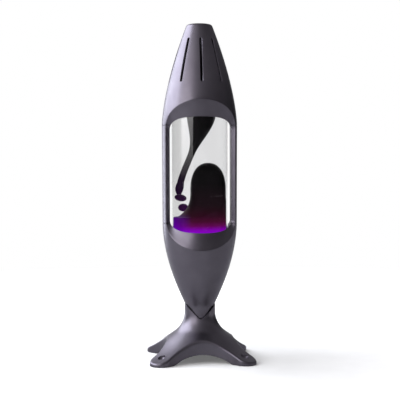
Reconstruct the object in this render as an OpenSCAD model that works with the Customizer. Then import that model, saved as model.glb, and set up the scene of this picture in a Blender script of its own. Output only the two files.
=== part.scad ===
// Liquid motion lamp: a metal spindle with a window front and back, a sealed bottle of wax between
// its two posts, and a four-legged star stand. Millimetres, +Z up, origin on the floor below the
// middle of the stand. The front window faces -Y.

/* [Bottle] */
// Outer radius of the glass bottle
bottle_r = 33.6; // [30:0.1:38]
// Thickness of the bottle's glass
bottle_wall = 1.5; // [1:0.1:2.5]
// Thickness of the bottle's floor
bottle_floor = 3; // [2:0.1:5]
// Height of the bottle's shoulder above the posts
shoulder_rise = 18.6; // [16:0.2:22]
// Height of the bottle's rounded shoulder
shoulder_h = 17; // [12:0.5:22]
// Outer radius of the bottle's mouth
mouth_r = 12; // [9:0.1:14]
// Height of the bottle's mouth above the shoulder
mouth_h = 13; // [10:0.5:16]
// Wall of the screw cap on the bottle
cap_wall = 1.4; // [1:0.1:2]
// Height of the screw cap's skirt
cap_skirt_h = 10; // [6:0.5:10]
// Thickness of the liner under the screw cap
liner_t = 1; // [0.6:0.1:2]

/* [Spindle] */
// Room between the bottle and the inside of the shells
bottle_gap = 2.8; // [2:0.1:4]
// Depth of a post, from its inner to its outer face
post_depth = 8.7; // [7:0.1:11]
// How much narrower the posts are at their lower end
post_taper = 0.55; // [0:0.05:1]
// Length of the posts between the two shells
post_h = 116.4; // [110:0.2:122]
// Thickness of the shells away from the window
shell_wall = 3.5; // [2.5:0.1:4.5]
// Height of the upper shell
upper_h = 120.4; // [112:0.2:126]
// How far above the upper shell's top its curve would reach a point
upper_past = 35.9; // [30:0.1:42]
// Bulge of the upper shell's curve
upper_bulge = 1.545; // [1.4:0.005:1.7]
// Thickness of the upper shell's top
top_t = 4; // [3:0.1:6]
// Rounding of the upper shell's top edge
top_round = 4; // [2:0.1:5]
// Height of the lower shell, from its flat tip to the posts
lower_h = 117; // [112:0.2:119]
// How far below the lower shell's tip its curve would reach a point
lower_past = 11.5; // [9:0.1:14]
// Bulge of the lower shell's curve
lower_bulge = 1.8; // [1.7:0.01:1.9]
// Radius of the stem that the lower shell's curve runs into
stem_r = 16.2; // [15:0.1:16.6]
// Thickness of the lower shell's floor above its tip
tip_t = 10; // [8:0.5:12]
// Open joint line at the ends of the posts
joint_gap = 0.25; // [0.1:0.05:0.4]
// Radius of the pins in the posts
pin_r = 1.5; // [1:0.1:1.8]
// Length of a pin in each of the two pieces that it joins
pin_depth = 11; // [6:0.5:14]
// Angle from the middle of a post to each of its pins
pin_angle = 8; // [6:0.5:10]

/* [Window] */
// Half the window's angle at its inner edge
inner_half_angle = 70.5; // [68:0.5:78]
// How far the window's inner edge reaches past the posts' ends
inner_rise = 10; // [8:0.2:12]
// Height of the rounded corners at the inner edge
inner_corner_h = 15.5; // [10:0.5:20]
// Squareness of the inner edge's corners
inner_square = 2.4; // [1.8:0.05:2.6]
// Half the window's angle at its outer edge
outer_half_angle = 67; // [62:0.5:70]
// How far the window's outer edge reaches past the posts' ends
outer_rise = 30.3; // [26:0.1:34]
// Height of the arch at each end of the outer edge
outer_arch_h = 33.4; // [28:0.2:38]
// Squareness of the outer edge's arch
outer_square = 1.85; // [1.7:0.05:2]
// How far the window's middle lies below the middle of the posts
window_drop = 0.7; // [0:0.1:1.5]
// How much higher the top of the back window reaches
back_rise = 6; // [4:0.5:8]
// Flat lip left at the window's inner edge
window_lip = 0.8; // [0.4:0.1:1.2]
// How much wider that lip is at the window's sides
window_side_lip = 1.5; // [0:0.1:2.5]
// How much wider it is at the sides of the window's back
back_side_lip = 4; // [0:0.1:5]

/* [Vents] */
// Number of vent slots round the upper shell
vent_count = 9; // [6:1:11]
// Width of a vent slot
vent_w = 2.4; // [2:0.1:3.4]
// Length of a vent slot
vent_len = 52; // [40:1:56]
// Height of a vent slot's lower end above the posts
vent_rise = 50.4; // [46:0.2:56]

/* [Bottle seat] */
// Depth of the seat ring's shoulder below the lower shell's rim
seat_drop = 23; // [20:0.5:26]
// Width of the shoulder that the seat ring rests on
seat_step = 1.8; // [1.4:0.1:2.4]
// Thickness of the seat ring
seat_t = 5; // [4:0.1:6]
// Width of the gasket that the bottle stands on
gasket_w = 7; // [5:0.5:9]
// Thickness of the gasket
gasket_t = 2; // [1:0.1:3]
// Height of the centring ring round the top of the bottle
collar_h = 3; // [2:0.1:4]
// Distance of the centring ring below the bottle's shoulder
collar_drop = 0; // [0:0.1:1]

/* [Wax] */
// Depth of the wax pool on the bottle's floor
pool_h = 20; // [16:0.5:24]
// Radius of the rising dome of wax
dome_r = 21.3; // [18:0.1:22]
// Height of the dome's top above the bottle's floor
dome_top = 84.7; // [75:0.1:95]
// Height of the dome's rounded head
dome_head_h = 32.7; // [26:0.1:38]
// Height of the flare at the dome's foot
dome_flare_h = 30; // [26:0.5:31]
// Widening of the dome at its foot
dome_flare = 12.4; // [10:0.2:14]
// Squareness of the dome's head
dome_square = 2.3; // [2:0.05:2.6]
// Radius of the hanging column at its top
column_top_r = 17.6; // [14:0.1:19]
// Radius of the hanging column at its neck
column_neck_r = 4.2; // [2.5:0.1:4.6]
// Length of the hanging column
column_len = 99.8; // [85:0.2:101]
// Thickness of the layer of wax that the column hangs from
layer_t = 2; // [1:0.1:4]
// Distance from the glass to the middle of the hanging column's lower end
column_inset = 7.3; // [5.5:0.1:8]
// Sideways place of the hanging column's top
column_x = 2.2; // [0:0.1:4]
// Half the width of the upper bead
upper_bead_r = 7.2; // [5:0.1:7.6]
// Half the height of the upper bead
upper_bead_h = 4.2; // [3:0.1:5]
// Height of the upper bead above the bottle's floor
upper_bead_z = 43.1; // [40:0.1:46]
// Half the width of the lower bead
lower_bead_r = 6.2; // [4:0.1:6.5]
// Half the height of the lower bead
lower_bead_h = 4.8; // [3:0.1:5.2]
// Gap between the lower bead and the dome of wax
lower_bead_gap = 0.4; // [0.3:0.1:5]

/* [Bulb and holder] */
// Radius of the bulb's glass
bulb_r = 19.5; // [16:0.1:22]
// Height of the bulb's glass
bulb_h = 41; // [36:0.5:43]
// Height of the bulb's flaring side, below its crown
bulb_side_h = 28; // [24:0.5:32]
// Radius of the bulb's brass cap
bulb_cap_r = 6.95; // [6:0.05:7.5]
// Height of the bulb's brass cap
bulb_cap_h = 19.5; // [16:0.5:22]
// Height of the glass insulator and contact below the cap
bulb_tip_h = 1.5; // [1:0.1:3]
// Radius of the bulb's end contact
bulb_tip_r = 2.8; // [2:0.1:3.5]
// Thickness of the bulb's glass
bulb_wall = 0.8; // [0.5:0.1:1.2]
// Outer radius of the bulb holder
holder_r = 12.5; // [11:0.1:13]
// Height of the bulb holder above its threaded boss
holder_h = 28; // [26:0.5:31]
// Height of the holder's threaded boss
holder_boss_h = 10; // [9:0.5:12]
// Wall of the holder's threaded boss
holder_boss_wall = 2.6; // [2:0.1:3]
// Thickness of the holder's floor
holder_floor = 4; // [3:0.5:6]
// Thickness of the holder's brass sleeve
sleeve_t = 0.9; // [0.5:0.1:1.2]
// Radius of the holder's terminal screws
terminal_r = 1; // [0.8:0.1:1.2]
// Depth of the terminal screws in the holder's floor
terminal_depth = 2.8; // [2:0.1:2.9]

/* [Stand] */
// Distance from the axis to the middle of a toe
toe_reach = 69; // [62:0.5:76]
// Radius of a toe
toe_r = 13.2; // [11:0.1:15]
// Radius of the hole through a toe
toe_hole_r = 2.5; // [1.5:0.1:3]
// Distance from the axis to the hollow side between two legs
waist_r = 40; // [36:0.5:44]
// Height of a toe's top at its tip
toe_h = 3.5; // [2.5:0.1:5]
// Slope of a toe's top, in degrees
toe_slope = 17; // [14:0.5:20]
// How far a toe's flatter top reaches in from the toe's middle
toe_inset = 3; // [0:0.5:6]
// Slope of the legs' top, in degrees
leg_slope = 34.5; // [31:0.1:37]
// Radius of the flare between the neck and the legs
flare_r = 30; // [26:0.5:34]
// Height of the lower shell's tip above the floor
tip_z = 46; // [42:0.5:50]
// Height of the neck above the lower shell's tip
neck_h = 19.4; // [16:0.1:22]
// Thickness of the neck's top edge
neck_lip = 0.3; // [0.2:0.05:0.6]
// Height of the neck's notch above the lower shell's tip
notch_rise = 2.6; // [1:0.1:5]
// Width of the notch at the neck's top edge
notch_w = 34.8; // [30:0.2:36]
// Shape of the notch, from pointed at 1 to round at 2
notch_round = 1.2; // [1.1:0.05:2]
// Height of the hollow under the stand at its middle
hollow_h = 16.5; // [15:0.1:20]
// Distance from the axis at which the hollow meets the floor
hollow_r = 61; // [57:0.5:63]

/* [Fixing] */
// Outer radius of the hollow fixing rod
rod_r = 5; // [4:0.1:5.2]
// Bore radius of the fixing rod
rod_bore_r = 3.5; // [2:0.1:3.6]
// Thickness of the fixing nut
nut_t = 4; // [3:0.5:5]
// Width of the fixing nut across its corners
nut_w = 16.2; // [14:0.1:18]
// Thickness of the washer
washer_t = 1; // [0.8:0.1:2]
// Width of the washer's ring
washer_w = 5; // [3.5:0.1:6]
// Wall of the bush on the rod's lower end
bush_wall = 1.4; // [1:0.1:2]
// Height of the bush
bush_h = 3.6; // [3:0.1:5]

/* [Fits] */
// Gap between the wax and the glass, and between the shell's nose and its socket
soft_gap = 0.3; // [0.2:0.05:0.5]
// Gap round pins, rods and threads
pin_gap = 0.05; // [0.03:0.01:0.1]
// Gap round the bottle, at the centring ring
collar_gap = 0.5; // [0.3:0.05:0.8]

/* [Hidden] */
$fn = 96;
// Number of steps along a curved outline
curve_steps = 24;
// Number of steps round the window's edge
window_steps = 64;
// Sharpness of the bend between the lower shell's curve and its stem
stem_bend = 16;
// How far a cut runs past what it cuts
over = 1;

inner_r = bottle_r + bottle_gap;
body_r = inner_r + post_depth;
post_base_r = body_r - post_taper;
lower_seam = tip_z + lower_h;
upper_seam = lower_seam + post_h;
top_z = upper_seam + upper_h;
pin_place_r = inner_r + post_depth / 2;
upper_point_h = upper_h + upper_past;
lower_point_h = lower_h + lower_past;
inner_half_h = post_h / 2 + inner_rise;
outer_half_h = post_h / 2 + outer_rise;

// Radius of the spindle's outside at height z
function upper_r(z) = body_r * (1 - pow((z - upper_seam) / upper_point_h, upper_bulge));
function lower_curve(z) = post_base_r * (1 - pow((lower_seam - z) / lower_point_h, lower_bulge));
function lower_r(z) = pow(pow(lower_curve(z), stem_bend) + pow(stem_r, stem_bend), 1 / stem_bend);
function post_r(z) = post_base_r + post_taper * (z - lower_seam) / post_h;
function spindle_r(z) = z > upper_seam ? upper_r(z) : z < lower_seam ? lower_r(z) : post_r(z);

// Point i of n spread evenly from a to b
function spread(a, b, i, n) = a + (b - a) * i / n;
function signed_pow(x, p) = sign(x) * pow(abs(x), p);

// Upper shell's rounded top edge, an arc that leaves its side without a corner
top_edge_z = top_z - top_round;
top_lean = atan((upper_r(top_edge_z - over) - upper_r(top_edge_z + over)) / (2 * over));
top_arc_z = top_z - top_round * (1 - sin(top_lean));
top_arc_r = upper_r(top_arc_z) - top_round * cos(top_lean);

// Bottle seat, in the lower shell
seat_z = lower_seam - seat_drop;
seat_shelf_r = inner_r - seat_step;
seat_r = inner_r - soft_gap;
gasket_r = bottle_r - soft_gap;
gasket_in_r = gasket_r - gasket_w;
bottle_z = seat_z + seat_t + gasket_t;
bottle_inside_r = bottle_r - bottle_wall;
bottle_inside_z = bottle_z + bottle_floor;
shoulder_z = upper_seam + shoulder_rise;
mouth_z = shoulder_z + shoulder_h;
mouth_top = mouth_z + mouth_h;
mouth_bore_r = mouth_r - bottle_wall;
collar_z = shoulder_z - collar_drop - collar_h;

// Wax, inside the bottle
wax_r = bottle_inside_r - soft_gap;
dome_x = wax_r - dome_r - soft_gap;
dome_waist_z = dome_top - dome_head_h;
column_top_z = shoulder_z - bottle_wall;
column_lean = column_x + wax_r - column_inset;
column_steps = 28;
column_sides = 20;
// Backward lean of the column, so that it clears the beads' paths
column_back = 6.4;
// Shares of the column's length where it has narrowed, swells again and closes
column_narrow = 0.53;
column_swell = 0.85;
column_close = 0.9;
// Share of the neck's radius that the column loses at its tip
column_tip = 0.4;
// Unevenness of the column's lean
column_bend = 1.15;
// Beads near the glass, at angles round the bottle from its left side
upper_bead_angle = 16;
lower_bead_angle = -42;
upper_bead_tilt = 7;
upper_bead_place = wax_r - upper_bead_r - soft_gap;
lower_bead_place = wax_r - lower_bead_r - soft_gap;
// Lower bead's height, where the dome's flare leaves its gap free
lower_bead_span = norm(lower_bead_place * [cos(lower_bead_angle), sin(lower_bead_angle)] + [dome_x, 0]);
lower_bead_flare = lower_bead_span - lower_bead_r - lower_bead_h / 4 - lower_bead_gap - dome_r;
lower_bead_z = max(
  pool_h + lower_bead_h + soft_gap,
  dome_waist_z - dome_flare_h * pow(max(0, lower_bead_flare / dome_flare), 1 / 3)
);

// Bulb and its holder, on the lower shell's floor
floor_z = tip_z + tip_t;
holder_z = floor_z + holder_boss_h;
holder_top = holder_z + holder_h;
holder_boss_r = rod_r + holder_boss_wall;
holder_bore_r = bulb_cap_r + pin_gap + sleeve_t + pin_gap;
holder_inside_z = holder_z + holder_floor;
// Part of the bulb's cap that stands out of the holder
bulb_cap_show = 1;
bulb_z = holder_top + bulb_cap_show;
bulb_cap_z = bulb_z - bulb_cap_h;
bulb_tip_z = bulb_cap_z - bulb_tip_h;
bulb_tip_edge = 1;
contact_t = 1;
contact_r = rod_bore_r + 1.5 * contact_t;
terminal_place_r = (holder_boss_r + holder_r) / 2;
terminal_head_r = terminal_r + 0.7;
terminal_head_h = 1.8;

// Fixing through the stand's neck
rod_top = holder_z - over;
washer_r = rod_r + washer_w;
washer_z = hollow_h - washer_t;
nut_z = washer_z - nut_t;
bush_z = nut_z - over - bush_h;
rod_z = bush_z + bush_wall;
bush_r = rod_r + pin_gap + bush_wall;

// Stand
neck_top = tip_z + neck_h;
neck_r = lower_r(neck_top) + soft_gap + neck_lip;
notch_z = tip_z + notch_rise;
toe_axis = toe_reach / sqrt(2);
toe_tip = toe_reach + toe_r;
// Circle that hollows the side between two legs and runs into both toes
side_inset = waist_r - toe_r;
side_place = (2 * pow(toe_axis, 2) - pow(side_inset, 2)) / (2 * (toe_axis - side_inset));
side_r = side_place - waist_r;
// Points where the hollow side meets the toe's arc
toe_meet = side_r / (side_r + toe_r);
toe_meet_a = side_place + (toe_axis - side_place) * toe_meet;
toe_meet_b = toe_axis * toe_meet;
// Legs' top where it meets the toes and would meet the neck, and the flare's centre
pad_r = toe_reach - toe_inset;
pad_z = toe_h + (toe_tip - pad_r) * tan(toe_slope);
leg_root_z = pad_z + (pad_r - neck_r) * tan(leg_slope);
flare_len = flare_r * tan(45 - leg_slope / 2);
flare_place_r = neck_r + flare_r;
flare_place_z = leg_root_z + flare_len;
flare_end_r = neck_r + flare_len * cos(leg_slope);
flare_end_z = leg_root_z - flare_len * sin(leg_slope);
// Sphere of the hollow underneath
hollow_sphere_r = (pow(hollow_r, 2) + pow(hollow_h, 2)) / (2 * hollow_h);

// Plain round solids
module ring(outer, inner, height) {
  difference() {
    cylinder(r = outer, h = height);
    translate([0, 0, -over]) cylinder(r = inner, h = height + 2 * over);
  }
}

module at_each(angles, radius) {
  for (a = angles) rotate(a) translate([radius, 0, 0]) children();
}

// Window: a loop of [angle from the middle, height] with rounded corners, its upper half raised
function window_point(i, half_angle, half_h, corner_h, square, rise) =
  let (turn = 360 * i / window_steps, side = sign(round(sin(turn) * 1000)))
  [
    half_angle * signed_pow(cos(turn), 2 / square),
    window_mid_z + (half_h - corner_h) * side + corner_h * signed_pow(sin(turn), 2 / square)
      + rise * max(0, side)
  ];
function wall_point(p, radius) = [radius * sin(p.x), -radius * cos(p.x), p.y];
window_mid_z = (lower_seam + upper_seam) / 2 - window_drop;
// Shares by which the cut runs on past the spindle's outside
window_reach = 1.5;
window_far = 1.8;
// Half of the cut's width between its two halves, a little within the hollow
window_mid_x = inner_r * cos(2);

function window_edge_r(angle, side_lip) = inner_r + window_lip
  + side_lip * pow(abs(angle) / inner_half_angle, 4);
function window_inner(rise, side_lip) = [for (i = [0 : window_steps - 1])
  let (p = window_point(i, inner_half_angle, inner_half_h, inner_corner_h, inner_square, rise))
  wall_point(p, window_edge_r(p.x, side_lip))];
function window_outer(rise) = [for (i = [0 : window_steps - 1])
  let (p = window_point(i, outer_half_angle, outer_half_h, outer_arch_h, outer_square, rise))
  wall_point(p, spindle_r(p.y))];
window_ends = [[0, -body_r * window_far, window_mid_z], [0, -over, window_mid_z]];

// Side triangles between ring a and ring b of a loop of n points, seen from outside
function band(a, b, n) = [for (i = [0 : n - 1]) let (j = (i + 1) % n) each
  [[a * n + i, a * n + j, b * n + j], [a * n + i, b * n + j, b * n + i]]];
function fan_out(a, tip, n) = [for (i = [0 : n - 1]) [a * n + (i + 1) % n, a * n + i, tip]];
function fan_in(a, tip, n) = [for (i = [0 : n - 1]) [a * n + i, a * n + (i + 1) % n, tip]];

module window_tool(rise, side_lip) {
  n = window_steps;
  inner = window_inner(rise, side_lip);
  outer = window_outer(rise);
  out = [for (i = [0 : n - 1]) inner[i] + (outer[i] - inner[i]) * window_reach];
  deep = [for (p = inner) [sign(p.x) * min(abs(p.x), window_mid_x), -over, p.z]];
  polyhedron(
    points = concat(out, inner, deep, window_ends),
    faces = concat(band(0, 1, n), band(1, 2, n), fan_out(0, 3 * n, n), fan_in(2, 3 * n + 1, n))
  );
}

module window_cut() {
  window_tool(0, window_side_lip);
  rotate(180) window_tool(back_rise, back_side_lip);
}

module pin_holes(z, height, radius) {
  translate([0, 0, z]) at_each([pin_angle, -pin_angle, 180 + pin_angle, 180 - pin_angle], pin_place_r)
    cylinder(r = radius, h = height);
}

module vent_slots() {
  z0 = upper_seam + vent_rise + vent_w / 2;
  z1 = z0 + vent_len - vent_w;
  for (i = [0 : vent_count - 1]) rotate(360 * i / vent_count - 90) {
    translate([0, -vent_w / 2, z0]) cube([body_r, vent_w, z1 - z0]);
    for (z = [z0, z1]) translate([0, 0, z]) rotate([0, 90, 0]) cylinder(r = vent_w / 2, h = body_r);
  }
}

module upper_shell() {
  inside_top = top_z - top_t;
  outside = [for (i = [0 : curve_steps]) let (z = spread(upper_seam, top_arc_z, i, curve_steps))
    [upper_r(z), z]];
  edge = [for (i = [1 : 6]) let (a = spread(top_lean, 90, i, 6))
    [top_arc_r + top_round * cos(a), top_z - top_round + top_round * sin(a)]];
  inside = [for (i = [0 : curve_steps]) let (z = spread(inside_top, upper_seam, i, curve_steps))
    [min(inner_r, upper_r(z) - shell_wall), z]];
  color("dimgray") difference() {
    rotate_extrude() polygon(concat(outside, edge, [[0, top_z], [0, inside_top]], inside));
    window_cut();
    vent_slots();
    pin_holes(upper_seam - over, pin_depth + over + pin_gap, pin_r + pin_gap);
  }
}

module lower_shell() {
  outside = [for (i = [0 : curve_steps]) let (z = spread(tip_z, lower_seam, i, curve_steps)) [lower_r(z), z]];
  inside = [for (i = [0 : curve_steps]) let (z = spread(seat_z, floor_z, i, curve_steps))
    [min(seat_shelf_r, lower_r(z) - shell_wall), z]];
  rim = [[inner_r, lower_seam], [inner_r, seat_z]];
  color("dimgray") difference() {
    rotate_extrude() polygon(concat([[0, tip_z]], outside, rim, inside, [[0, floor_z]]));
    window_cut();
    pin_holes(lower_seam - pin_depth, pin_depth + over, pin_r + pin_gap);
    translate([0, 0, tip_z - over]) cylinder(r = rod_r + pin_gap, h = tip_t + 2 * over);
  }
}

module post(side) {
  z0 = lower_seam + joint_gap;
  z1 = upper_seam - joint_gap;
  color("dimgray") intersection() {
    difference() {
      rotate_extrude() polygon([[inner_r, z0], [post_r(z0), z0], [post_r(z1), z1], [inner_r, z1]]);
      window_cut();
      pin_holes(z0 - over, pin_depth + over, pin_r + pin_gap);
      pin_holes(z1 - pin_depth, pin_depth + over, pin_r + pin_gap);
    }
    translate([side > 0 ? 0 : -body_r - over, -body_r, z0 - over])
      cube([body_r + over, 2 * body_r, z1 - z0 + 2 * over]);
  }
}

module left_post() post(-1);
module right_post() post(1);

module lower_post_pins() {
  color("silver") pin_holes(lower_seam - pin_depth, 2 * pin_depth + joint_gap, pin_r);
}

module upper_post_pins() {
  color("silver") pin_holes(upper_seam - joint_gap - pin_depth, 2 * pin_depth + joint_gap, pin_r);
}

module bottle_seat() {
  color("gainsboro") translate([0, 0, seat_z]) ring(seat_r, gasket_in_r, seat_t);
}

module seat_gasket() {
  color("darkslategray") translate([0, 0, seat_z + seat_t]) ring(gasket_r, gasket_in_r, gasket_t);
}

// Bottle outline from its floor to its mouth, drawn in by inset
function bottle_side(inset) = concat(
  [[bottle_r - inset, shoulder_z]],
  [for (i = [1 : curve_steps]) let (a = spread(0, 90, i, curve_steps))
    [mouth_r - inset + (bottle_r - mouth_r) * cos(a), shoulder_z + (shoulder_h - inset) * sin(a)]]
);

module bottle() {
  outside = concat([[0, bottle_z], [bottle_r, bottle_z]], bottle_side(0));
  inside = concat([[0, bottle_inside_z], [bottle_inside_r, bottle_inside_z]], bottle_side(bottle_wall));
  color("lightcyan", 0.4) rotate_extrude() difference() {
    polygon(concat(outside, [[mouth_r, mouth_top], [0, mouth_top]]));
    polygon(concat(inside, [[mouth_bore_r, mouth_top + over], [0, mouth_top + over]]));
  }
}

module bottle_cap() {
  color("black") difference() {
    translate([0, 0, mouth_top - cap_skirt_h])
      cylinder(r = mouth_r + pin_gap + cap_wall, h = cap_skirt_h + liner_t + cap_wall);
    translate([0, 0, mouth_top - cap_skirt_h - over])
      cylinder(r = mouth_r + pin_gap, h = cap_skirt_h + liner_t + over);
  }
}

module cap_liner() {
  color("ivory") translate([0, 0, mouth_top]) cylinder(r = mouth_r, h = liner_t);
}

module bottle_collar() {
  color("darkslategray") translate([0, 0, collar_z])
    ring(inner_r - pin_gap, bottle_r + collar_gap, collar_h);
}

// Radius of the dome of wax at height z above the bottle's floor
function dome_at(z) = z > dome_waist_z
  ? dome_r * pow(max(0, 1 - pow((z - dome_waist_z) / dome_head_h, dome_square)), 1 / dome_square)
  : dome_r + dome_flare * pow((dome_waist_z - z) / dome_flare_h, 3);

module wax_dome() {
  foot_z = dome_waist_z - dome_flare_h;
  flare = [for (i = [0 : curve_steps]) let (z = spread(foot_z, dome_waist_z, i, curve_steps))
    [dome_at(z), z]];
  head = [for (i = [1 : curve_steps]) let (a = spread(0, 90, i, curve_steps))
    let (z = dome_waist_z + dome_head_h * sin(a)) [dome_at(z), z]];
  color("indigo") translate([0, 0, bottle_inside_z]) {
    cylinder(r = wax_r, h = pool_h);
    intersection() {
      translate([dome_x, 0, 0]) rotate_extrude() polygon(concat([[0, 0], [dome_at(foot_z), 0]], flare, head));
      cylinder(r = wax_r, h = dome_top + over);
    }
  }
}

// Middle and radius of the hanging column at a share u of its length
function smooth(u) = u * u * (3 - 2 * u);
function column_mid(u) = [
  column_x - column_lean * smooth(pow(u, column_bend)),
  column_back * smooth(min(1, u / column_narrow)),
  column_top_z - layer_t / 2 - (column_len - layer_t / 2) * u
];
function column_at(u) = column_neck_r
  + (column_top_r - column_neck_r) * pow(cos(90 * min(1, u / column_narrow)), 2)
  + (u > column_swell ? sin(180 * (u - column_swell) / (1 - column_swell)) : 0)
  - (u > column_close ? column_neck_r * column_tip * pow((u - column_close) / (1 - column_close), 2) : 0);

module wax_column() {
  n = column_sides;
  rings = [for (k = [0 : column_steps]) let (u = k / column_steps) each
    [for (i = [0 : n - 1]) let (a = 360 * i / n) column_mid(u) + column_at(u) * [cos(a), sin(a), 0]]];
  ends = [column_mid(0), column_mid(1) - [0, 0, column_at(1) / 2]];
  count = (column_steps + 1) * n;
  color("indigo") {
    translate([0, 0, column_top_z - layer_t]) cylinder(r = wax_r, h = layer_t);
    polyhedron(
      points = concat(rings, ends),
      faces = concat(
        [for (k = [0 : column_steps - 1]) each band(k, k + 1, n)],
        fan_in(column_steps, count + 1, n),
        fan_out(0, count, n)
      )
    );
  }
}

module bead(half_w, half_h) {
  rotate_extrude() polygon([for (i = [0 : curve_steps]) let (a = spread(-90, 90, i, curve_steps))
    [half_w * cos(a), half_h * sin(a)]]);
}

module wax_bead_upper() {
  color("indigo") rotate(180 + upper_bead_angle)
    translate([upper_bead_place, 0, bottle_inside_z + upper_bead_z])
    rotate([0, -upper_bead_tilt, 0]) bead(upper_bead_r, upper_bead_h);
}

module wax_bead_lower() {
  color("indigo") rotate(180 + lower_bead_angle)
    translate([lower_bead_place, 0, bottle_inside_z + lower_bead_z]) bead(lower_bead_r, lower_bead_h);
}

// Bulb outline above its cap, drawn in by inset: a flaring neck and a low crown
function bulb_side(inset) = concat(
  [for (i = [0 : curve_steps]) let (u = i / curve_steps)
    [bulb_cap_r + (bulb_r - bulb_cap_r) * smooth(u) - inset, bulb_z + bulb_side_h * u]],
  [for (i = [1 : curve_steps]) let (a = spread(0, 90, i, curve_steps))
    [(bulb_r - inset) * cos(a), bulb_z + bulb_side_h + (bulb_h - bulb_side_h - inset) * sin(a)]]
);

module bulb_glass() {
  color("whitesmoke", 0.6) rotate_extrude() difference() {
    polygon(concat([[0, bulb_z]], bulb_side(0)));
    polygon(concat([[0, bulb_z - over], [bulb_cap_r - bulb_wall, bulb_z - over]], bulb_side(bulb_wall)));
  }
}

module bulb_cap() {
  color("goldenrod") translate([0, 0, bulb_cap_z]) cylinder(r = bulb_cap_r, h = bulb_cap_h);
}

module bulb_tip() {
  color("black") translate([0, 0, bulb_tip_z])
    cylinder(r1 = bulb_tip_r, r2 = bulb_cap_r - bulb_tip_edge, h = bulb_tip_h);
}

module bulb_holder() {
  color("ivory") difference() {
    union() {
      translate([0, 0, floor_z]) cylinder(r = holder_boss_r, h = holder_boss_h);
      translate([0, 0, holder_z]) cylinder(r = holder_r, h = holder_h);
    }
    translate([0, 0, holder_inside_z]) cylinder(r = holder_bore_r, h = holder_h);
    translate([0, 0, floor_z - over]) cylinder(r = rod_r + pin_gap, h = holder_boss_h);
    translate([0, 0, rod_top - over]) cylinder(r = rod_bore_r, h = holder_floor + 2 * over);
    translate([0, 0, holder_z - over]) at_each([0, 180], terminal_place_r)
      cylinder(r = terminal_r + pin_gap, h = terminal_depth + over);
  }
}

module holder_sleeve() {
  color("goldenrod") translate([0, 0, bulb_cap_z])
    ring(bulb_cap_r + pin_gap + sleeve_t, bulb_cap_r + pin_gap, holder_top - bulb_cap_z);
}

// Centre contact: a disc over the rod's bore and a post up to the bulb's tip
module holder_contact() {
  color("goldenrod") translate([0, 0, holder_inside_z]) {
    cylinder(r = contact_r, h = contact_t);
    cylinder(r = bulb_tip_r, h = bulb_tip_z - holder_inside_z);
  }
}

module terminal_screws() {
  color("silver") translate([0, 0, holder_z]) at_each([0, 180], terminal_place_r) {
    translate([0, 0, -terminal_head_h]) cylinder(r = terminal_head_r, h = terminal_head_h);
    cylinder(r = terminal_r, h = terminal_depth);
  }
}

module fixing_rod() {
  color("silver") translate([0, 0, rod_z]) ring(rod_r, rod_bore_r, rod_top - rod_z);
}

module fixing_washer() {
  color("silver") translate([0, 0, washer_z]) ring(washer_r, rod_r + pin_gap, washer_t);
}

module fixing_nut() {
  color("silver") translate([0, 0, nut_z]) difference() {
    cylinder(d = nut_w, h = nut_t, $fn = 6);
    translate([0, 0, -over]) cylinder(r = rod_r + pin_gap, h = nut_t + 2 * over);
  }
}

module rod_bush() {
  color("black") translate([0, 0, bush_z]) difference() {
    cylinder(r = bush_r, h = bush_h);
    translate([0, 0, bush_wall]) cylinder(r = rod_r + pin_gap, h = bush_h);
    translate([0, 0, -over]) cylinder(r = rod_bore_r, h = bush_h);
  }
}

// Outline of the stand from above: four toes joined by hollow sides
module star() {
  a = toe_meet_a;
  b = toe_meet_b;
  difference() {
    polygon([[a, b], [b, a], [-b, a], [-a, b], [-a, -b], [-b, -a], [b, -a], [a, -b]]);
    for (turn = [0 : 90 : 270]) rotate(turn) translate([side_place, 0]) circle(r = side_r);
  }
  for (turn = [45 : 90 : 315]) rotate(turn) translate([toe_reach, 0]) circle(r = toe_r);
}

// Outline of the neck, flare and legs' top, turned round the axis
module stand_profile() {
  far = toe_tip + over;
  far_z = pad_z - (far - pad_r) * tan(toe_slope);
  difference() {
    polygon([
      [0, 0], [far, 0], [far, far_z], [pad_r, pad_z], [flare_end_r, flare_end_z],
      [flare_place_r, flare_place_z], [neck_r, flare_place_z], [neck_r, neck_top], [0, neck_top]
    ]);
    translate([flare_place_r, flare_place_z]) circle(r = flare_r);
  }
}

// Cut for the shell's nose, and the notch that shows it from the front and the back
module nose_socket() {
  side = [for (i = [0 : curve_steps]) let (z = spread(tip_z, neck_top + over, i, curve_steps))
    [lower_r(z) + soft_gap, z]];
  rotate_extrude() polygon(concat([[0, tip_z]], side, [[0, neck_top + over]]));
  half = neck_r + over;
  lift = (neck_top - notch_z) / pow(notch_w / 2, notch_round);
  edge = [for (i = [-curve_steps : curve_steps]) let (x = half * i / curve_steps)
    [x, notch_z + lift * pow(abs(x), notch_round)]];
  translate([0, waist_r, 0]) rotate([90, 0, 0]) linear_extrude(2 * waist_r)
    polygon(concat(edge, [[half, neck_top + half], [-half, neck_top + half]]));
}

module stand() {
  color("dimgray") difference() {
    intersection() {
      rotate_extrude() stand_profile();
      linear_extrude(neck_top) star();
    }
    translate([0, 0, hollow_h - hollow_sphere_r]) sphere(r = hollow_sphere_r);
    translate([0, 0, -over]) cylinder(r = washer_r + over, h = hollow_h + over);
    nose_socket();
    cylinder(r = rod_r + pin_gap, h = tip_z + over);
    at_each([45 : 90 : 315], toe_reach) translate([0, 0, -over]) cylinder(r = toe_hole_r, h = neck_top);
  }
}

stand();
lower_shell();
left_post();
right_post();
upper_shell();
lower_post_pins();
upper_post_pins();
bottle_seat();
seat_gasket();
bottle();
bottle_cap();
cap_liner();
bottle_collar();
wax_dome();
wax_column();
wax_bead_upper();
wax_bead_lower();
bulb_glass();
bulb_cap();
bulb_tip();
bulb_holder();
holder_sleeve();
holder_contact();
terminal_screws();
fixing_rod();
fixing_washer();
fixing_nut();
rod_bush();
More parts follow.
